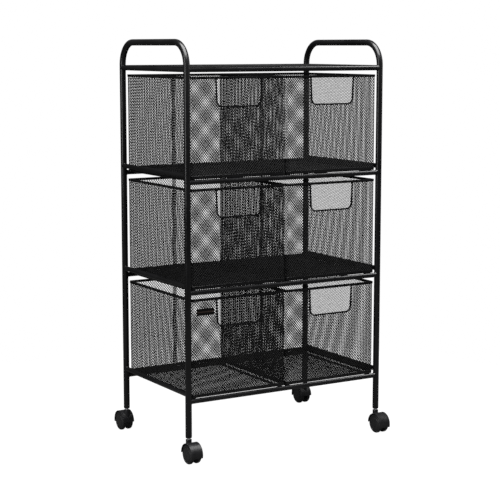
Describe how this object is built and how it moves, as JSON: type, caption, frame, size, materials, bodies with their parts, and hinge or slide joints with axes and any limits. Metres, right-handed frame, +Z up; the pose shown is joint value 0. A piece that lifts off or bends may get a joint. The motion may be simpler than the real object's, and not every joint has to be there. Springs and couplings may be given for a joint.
{
  "type": "rolling utility cart",
  "caption": "Tall narrow rolling cart: two bent-tube side frames with push handles, a mesh top shelf, tiers of paired pull-out mesh drawers, and swivel casters.",
  "frame": {"origin": "on the floor under the middle of the cart, at the centre of its plan", "axes": "+Z up, +X to the cart's right as seen from the front, drawers open towards -Y, the front"},
  "size_m": [0.4878, 0.352, 0.843],
  "materials": {
    "black_steel": "satin black powder coat",
    "black_mesh": "satin black powder-coated expanded metal mesh",
    "label_black": "semi-gloss black enamel",
    "black_plastic": "moulded black nylon, satin",
    "wheel_plastic": "moulded black nylon, worn satin",
    "plated_steel": "bright zinc plate"
  },
  "bodies": {
    "frame": {"left_frame": "black_steel", "right_frame": "black_steel", "top_cross_rails": "black_steel", "top_side_rails": "black_steel", "top_mesh_panel": "black_mesh", "lower_cross_rails": "black_steel", "lower_side_rails": "black_steel", "lower_runner_wires": "black_steel", "middle_cross_rails": "black_steel", "middle_side_rails": "black_steel", "middle_runner_wires": "black_steel", "upper_cross_rails": "black_steel", "upper_side_rails": "black_steel", "upper_runner_wires": "black_steel", "stem_sockets": "black_plastic"},
    "lower_left_drawer": {"lower_left_basket": "black_mesh", "lower_left_rim": "black_steel", "lower_left_pull_frame": "black_steel", "lower_left_base_band": "black_steel", "label_plate": "label_black"},
    "lower_right_drawer": {"lower_right_basket": "black_mesh", "lower_right_rim": "black_steel", "lower_right_pull_frame": "black_steel", "lower_right_base_band": "black_steel"},
    "middle_left_drawer": {"middle_left_basket": "black_mesh", "middle_left_rim": "black_steel", "middle_left_pull_frame": "black_steel", "middle_left_base_band": "black_steel"},
    "middle_right_drawer": {"middle_right_basket": "black_mesh", "middle_right_rim": "black_steel", "middle_right_pull_frame": "black_steel", "middle_right_base_band": "black_steel"},
    "upper_left_drawer": {"upper_left_basket": "black_mesh", "upper_left_rim": "black_steel", "upper_left_pull_frame": "black_steel", "upper_left_base_band": "black_steel"},
    "upper_right_drawer": {"upper_right_basket": "black_mesh", "upper_right_rim": "black_steel", "upper_right_pull_frame": "black_steel", "upper_right_base_band": "black_steel"},
    "front_left_caster": {"front_left_caster_stem": "plated_steel", "front_left_caster_hood": "black_plastic", "front_left_caster_axle": "plated_steel"},
    "front_left_caster_wheel_left": {"front_left_caster_wheel_left": "wheel_plastic"},
    "front_left_caster_wheel_right": {"front_left_caster_wheel_right": "wheel_plastic"},
    "front_right_caster": {"front_right_caster_stem": "plated_steel", "front_right_caster_hood": "black_plastic", "front_right_caster_axle": "plated_steel"},
    "front_right_caster_wheel_left": {"front_right_caster_wheel_left": "wheel_plastic"},
    "front_right_caster_wheel_right": {"front_right_caster_wheel_right": "wheel_plastic"},
    "back_left_caster": {"back_left_caster_stem": "plated_steel", "back_left_caster_hood": "black_plastic", "back_left_caster_axle": "plated_steel"},
    "back_left_caster_wheel_left": {"back_left_caster_wheel_left": "wheel_plastic"},
    "back_left_caster_wheel_right": {"back_left_caster_wheel_right": "wheel_plastic"},
    "back_right_caster": {"back_right_caster_stem": "plated_steel", "back_right_caster_hood": "black_plastic", "back_right_caster_axle": "plated_steel"},
    "back_right_caster_wheel_left": {"back_right_caster_wheel_left": "wheel_plastic"},
    "back_right_caster_wheel_right": {"back_right_caster_wheel_right": "wheel_plastic"}
  },
  "joints": [
    {"name": "lower_left_drawer_slide", "type": "slide", "parent": "frame", "child": "lower_left_drawer", "axis": [0, -1, 0], "range_m": [0, 0.22]},
    {"name": "lower_right_drawer_slide", "type": "slide", "parent": "frame", "child": "lower_right_drawer", "axis": [0, -1, 0], "range_m": [0, 0.22]},
    {"name": "middle_left_drawer_slide", "type": "slide", "parent": "frame", "child": "middle_left_drawer", "axis": [0, -1, 0], "range_m": [0, 0.22]},
    {"name": "middle_right_drawer_slide", "type": "slide", "parent": "frame", "child": "middle_right_drawer", "axis": [0, -1, 0], "range_m": [0, 0.22]},
    {"name": "upper_left_drawer_slide", "type": "slide", "parent": "frame", "child": "upper_left_drawer", "axis": [0, -1, 0], "range_m": [0, 0.22]},
    {"name": "upper_right_drawer_slide", "type": "slide", "parent": "frame", "child": "upper_right_drawer", "axis": [0, -1, 0], "range_m": [0, 0.22]},
    {"name": "front_left_caster_swivel", "type": "hinge", "parent": "frame", "child": "front_left_caster", "pos_m": [-0.231, -0.14, 0.05], "axis": [0, 0, 1], "continuous": true},
    {"name": "front_left_caster_wheel_left_spin", "type": "hinge", "parent": "front_left_caster", "child": "front_left_caster_wheel_left", "pos_m": [-0.231, -0.1535, 0.02], "axis": [1, 0, 0], "continuous": true},
    {"name": "front_left_caster_wheel_right_spin", "type": "hinge", "parent": "front_left_caster", "child": "front_left_caster_wheel_right", "pos_m": [-0.231, -0.1535, 0.02], "axis": [1, 0, 0], "continuous": true},
    {"name": "front_right_caster_swivel", "type": "hinge", "parent": "frame", "child": "front_right_caster", "pos_m": [0.231, -0.14, 0.05], "axis": [0, 0, 1], "continuous": true},
    {"name": "front_right_caster_wheel_left_spin", "type": "hinge", "parent": "front_right_caster", "child": "front_right_caster_wheel_left", "pos_m": [0.231, -0.1535, 0.02], "axis": [1, 0, 0], "continuous": true},
    {"name": "front_right_caster_wheel_right_spin", "type": "hinge", "parent": "front_right_caster", "child": "front_right_caster_wheel_right", "pos_m": [0.231, -0.1535, 0.02], "axis": [1, 0, 0], "continuous": true},
    {"name": "back_left_caster_swivel", "type": "hinge", "parent": "frame", "child": "back_left_caster", "pos_m": [-0.231, 0.14, 0.05], "axis": [0, 0, 1], "continuous": true},
    {"name": "back_left_caster_wheel_left_spin", "type": "hinge", "parent": "back_left_caster", "child": "back_left_caster_wheel_left", "pos_m": [-0.231, 0.1535, 0.02], "axis": [1, 0, 0], "continuous": true},
    {"name": "back_left_caster_wheel_right_spin", "type": "hinge", "parent": "back_left_caster", "child": "back_left_caster_wheel_right", "pos_m": [-0.231, 0.1535, 0.02], "axis": [1, 0, 0], "continuous": true},
    {"name": "back_right_caster_swivel", "type": "hinge", "parent": "frame", "child": "back_right_caster", "pos_m": [0.231, 0.14, 0.05], "axis": [0, 0, 1], "continuous": true},
    {"name": "back_right_caster_wheel_left_spin", "type": "hinge", "parent": "back_right_caster", "child": "back_right_caster_wheel_left", "pos_m": [0.231, 0.1535, 0.02], "axis": [1, 0, 0], "continuous": true},
    {"name": "back_right_caster_wheel_right_spin", "type": "hinge", "parent": "back_right_caster", "child": "back_right_caster_wheel_right", "pos_m": [0.231, 0.1535, 0.02], "axis": [1, 0, 0], "continuous": true}
  ]
}
